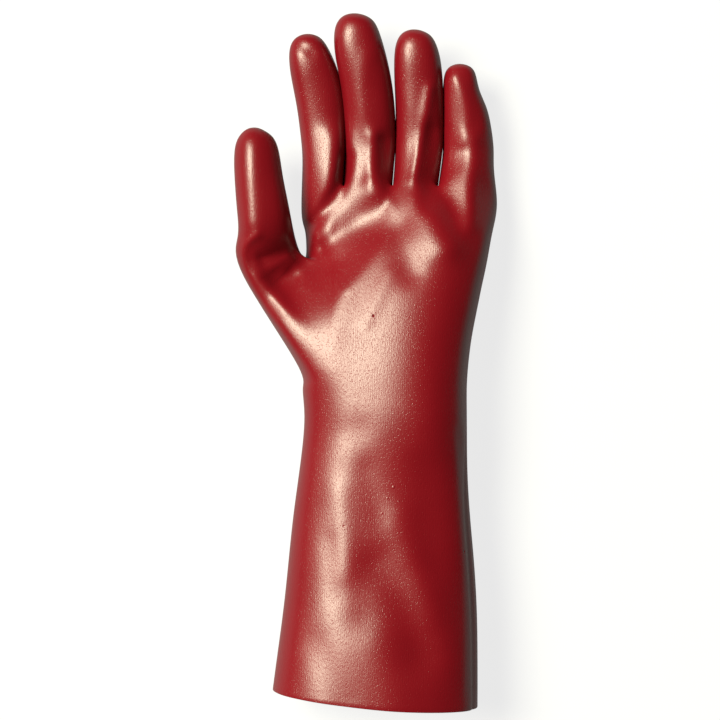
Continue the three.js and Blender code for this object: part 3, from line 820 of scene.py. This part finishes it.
def red_pvc():
    material, tree, shader, where = new_material("red_pvc")
    relief = coat_relief(tree, where)
    patches = add_node(tree, "ShaderNodeTexNoise", {"Vector": where, "Scale": 30.0, "Detail": 4.0})
    tint = add_node(tree, "ShaderNodeMix", {
        "Factor": patches.outputs["Fac"], "A": DEEP_RED, "B": BRIGHT_RED}, data_type="RGBA")
    gloss = add_node(tree, "ShaderNodeMapRange", {
        "Value": patches.outputs["Fac"], "To Min": SMOOTHEST, "To Max": ROUGHEST})
    tree.links.new(tint.outputs["Result"], shader.inputs["Base Color"])
    tree.links.new(gloss.outputs["Result"], shader.inputs["Roughness"])
    tree.links.new(relief, shader.inputs["Normal"])
    shader.inputs["IOR"].default_value = PVC_IOR
    print("nodes in the red coat:", len(tree.nodes))
    return material


walled.materials[COAT] = red_pvc()

# %% [markdown]
# The knitted backing
#
# Inside, the glove shows the pale cotton knit that the coat is bonded to. Modelling its loops would
# take millions of faces, so two crossed waves stand for them: their product is high at each stitch,
# and it drives both the bump and the tint. The tint is painted shade: the cotton is darker where the
# product is low, in the gaps between the stitches.

# %% Knitted backing
# The cotton's own colour for the stitch tops, and the same cotton darkened by painted shade for the gaps
# between the stitches.
KNIT_GAP_PAINTED_SHADE, KNIT_COTTON = (0.50, 0.38, 0.32, 1), (0.82, 0.70, 0.62, 1)


def knit_wave(tree, where, direction, scale):
    wave = add_node(tree, "ShaderNodeTexWave", {"Vector": where, "Scale": scale, "Distortion": 0.6},
                    wave_type="BANDS", bands_direction=direction)
    return wave.outputs["Fac"]


def knitted_backing():
    material, tree, shader, where = new_material("knitted_backing")
    loops = add_node(tree, "ShaderNodeMath", {
        0: knit_wave(tree, where, "X", 300.0), 1: knit_wave(tree, where, "Y", 380.0)},
        operation="MULTIPLY").outputs["Value"]
    # The tint follows the stitch height: painted shade in the gaps between the stitches, beside the real
    # bump.
    tint = add_node(tree, "ShaderNodeMix", {"Factor": loops, "A": KNIT_GAP_PAINTED_SHADE, "B": KNIT_COTTON},
                    data_type="RGBA")
    tree.links.new(tint.outputs["Result"], shader.inputs["Base Color"])
    tree.links.new(add_bump(tree, loops, 0.8, 0.3 * MM), shader.inputs["Normal"])
    shader.inputs["Roughness"].default_value = 0.9
    print("nodes in the backing:", len(tree.nodes))
    return material


walled.materials[BACKING] = knitted_backing()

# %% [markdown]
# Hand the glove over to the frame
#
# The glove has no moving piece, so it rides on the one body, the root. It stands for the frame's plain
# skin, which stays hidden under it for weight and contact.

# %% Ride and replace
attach(glove, "root")
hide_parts("glove_skin")
print("finished piece:", glove.name, "slots:", [slot.name for slot in walled.materials])

# %% [markdown]
# Floor
#
# The glove lies on a plain pale surface. A floor bright enough to look white would also light the
# flanks of the glove from below and wash them out. So the Light Path node gives it two strengths: one
# for what the camera sees directly, and a weaker one for the light that reaches the glove.

# %% A pale floor with two strengths
FLOOR_SIZE = 40
FLOOR_COLOUR = (0.13, 0.13, 0.14, 1)
FLOOR_SEEN, FLOOR_CAST = 0.8, 0.22

bpy.ops.mesh.primitive_plane_add(size=FLOOR_SIZE)
floor = bpy.context.object
floor.name = "floor"
floor_paint = bpy.data.materials.new("pale_floor")
floor_paint.use_nodes = True
floor_shader = floor_paint.node_tree.nodes["Principled BSDF"]
floor_shader.inputs["Base Color"].default_value = FLOOR_COLOUR
floor_shader.inputs["Roughness"].default_value = 0.9
floor_shader.inputs["Emission Color"].default_value = (1, 1, 1, 1)
ray = add_node(floor_paint.node_tree, "ShaderNodeLightPath")
glow = add_node(floor_paint.node_tree, "ShaderNodeMapRange", {
    "Value": ray.outputs["Is Camera Ray"], "To Min": FLOOR_CAST, "To Max": FLOOR_SEEN})
floor_paint.node_tree.links.new(glow.outputs["Result"], floor_shader.inputs["Emission Strength"])
floor.data.materials.append(floor_paint)
print("floor, m:", FLOOR_SIZE, "wide")

# %% [markdown]
# Light
#
# One large softbox stands on the left, towards the fingertips. It draws a broad pale streak down the
# cuff and palm and leaves the right flank of every finger dark. A very weak warm world keeps that
# dark side from going black.

# %% Softbox and world
KEY_PLACE = Vector((-1.95, 0.95, 3.0))
KEY_SIZE = (1.9, 1.5)
KEY_WATTS = 315
KEY_TINT = (1, 0.98, 0.75)
WORLD_TINT, WORLD_STRENGTH = (1, 0.96, 0.92, 1), 0.03

key_light = bpy.data.lights.new("key", "AREA")
key_light.shape = "RECTANGLE"
key_light.size, key_light.size_y = KEY_SIZE
key_light.energy = KEY_WATTS
key_light.color = KEY_TINT
key = bpy.data.objects.new("key", key_light)
key.location = KEY_PLACE
key.rotation_euler = (-KEY_PLACE).to_track_quat("-Z", "Y").to_euler()
bpy.context.scene.collection.objects.link(key)
world = bpy.data.worlds.new("studio")
bpy.context.scene.world = world
world.use_nodes = True
world.node_tree.nodes["Background"].inputs["Color"].default_value = WORLD_TINT
world.node_tree.nodes["Background"].inputs["Strength"].default_value = WORLD_STRENGTH
print("softbox distance, m:", round(KEY_PLACE.length, 2))

# %% [markdown]
# Camera
#
# The view looks straight down on the palm. Its frame covers 720 by 720 pixels of 0.505 mm each,
# measured at the height where the glove is widest. A long lens from far above keeps the flanks from
# leaning outwards, and the camera's height follows from the lens and the breadth of the view.

# %% Camera
FRAME_PIXELS = 720
PIXEL = 0.505 * MM
WIDEST_HEIGHT = 28 * MM
GLOVE_MIDDLE = (366.5, 359.5)
LENS, SENSOR = 120, 36
view_size = FRAME_PIXELS * PIXEL

camera_data = bpy.data.cameras.new("camera")
camera_data.lens = LENS
camera_data.sensor_width = SENSOR
camera = bpy.data.objects.new("camera", camera_data)
camera.location = (
    (FRAME_PIXELS / 2 - GLOVE_MIDDLE[0]) * PIXEL,
    (GLOVE_MIDDLE[1] - FRAME_PIXELS / 2) * PIXEL,
    WIDEST_HEIGHT + view_size * LENS / SENSOR)
bpy.context.scene.collection.objects.link(camera)
bpy.context.scene.camera = camera
bpy.context.scene.view_settings.view_transform = "Standard"
print("camera height, m:", round(camera.location.z, 3))
